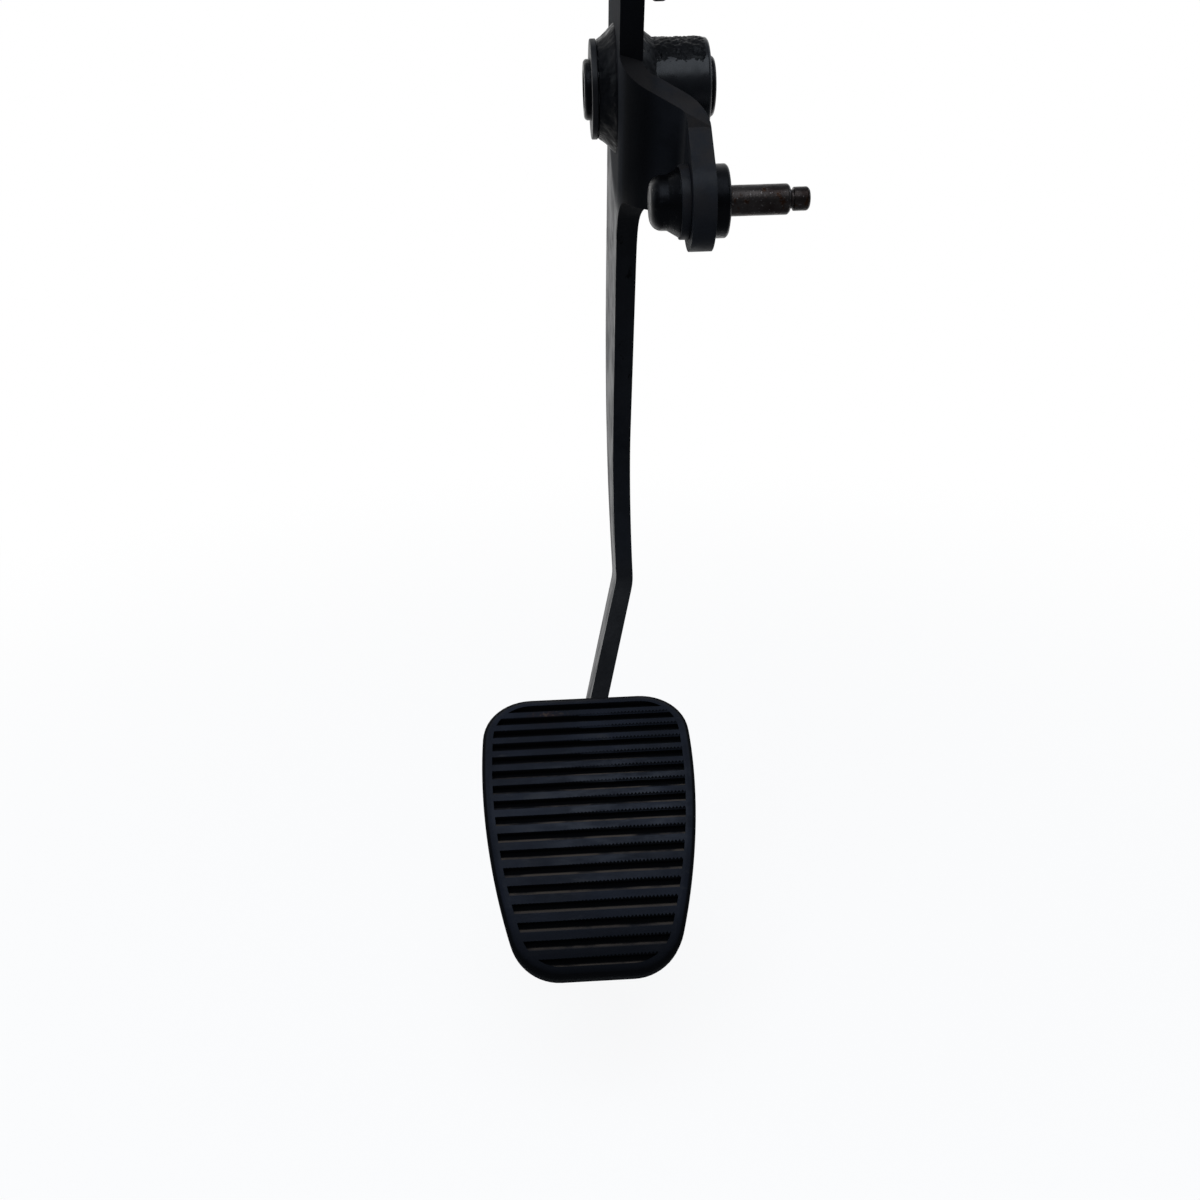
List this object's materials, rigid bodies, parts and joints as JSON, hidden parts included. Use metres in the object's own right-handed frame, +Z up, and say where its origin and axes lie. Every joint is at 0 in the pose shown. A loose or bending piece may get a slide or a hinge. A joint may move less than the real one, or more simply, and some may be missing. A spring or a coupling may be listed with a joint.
{
  "type": "clutch pedal",
  "caption": "Hanging clutch pedal: a kneed plate arm with a pivot tube, a folded ear with a pushrod pin and a ribbed rubber foot pad.",
  "frame": {"origin": "on the pivot axis, in the middle plane of the arm's plate", "axes": "+X along the pivot axis towards the pushrod pin, +Y away from the driver, +Z up"},
  "size_m": [0.0939, 0.1386, 0.3076],
  "materials": {
    "black_paint": "satin black paint with scuffs",
    "painted_weld": "rippled weld bead under black paint",
    "bush_plastic": "moulded black plastic",
    "dark_steel": "dark oiled steel",
    "pad_rubber": "worn ribbed rubber with dust in its grooves"
  },
  "bodies": {
    "pivot_sleeve": {"pivot_sleeve": "dark_steel"},
    "pedal": {"pedal_arm": "black_paint", "pivot_tube": "black_paint", "pivot_weld_left": "painted_weld", "pivot_weld_right": "painted_weld", "pivot_bush_left": "bush_plastic", "pivot_bush_right": "bush_plastic", "pushrod_pin": "dark_steel", "pin_washer": "black_paint", "spring_stud": "dark_steel", "foot_plate": "black_paint", "foot_weld_left": "painted_weld", "foot_weld_right": "painted_weld", "rubber_pad": "pad_rubber"}
  },
  "joints": [
    {"name": "pedal_swing", "type": "hinge", "parent": "pivot_sleeve", "child": "pedal", "pos_m": [0, 0, 0], "axis": [1, 0, 0], "range_deg": [0, 30]}
  ]
}
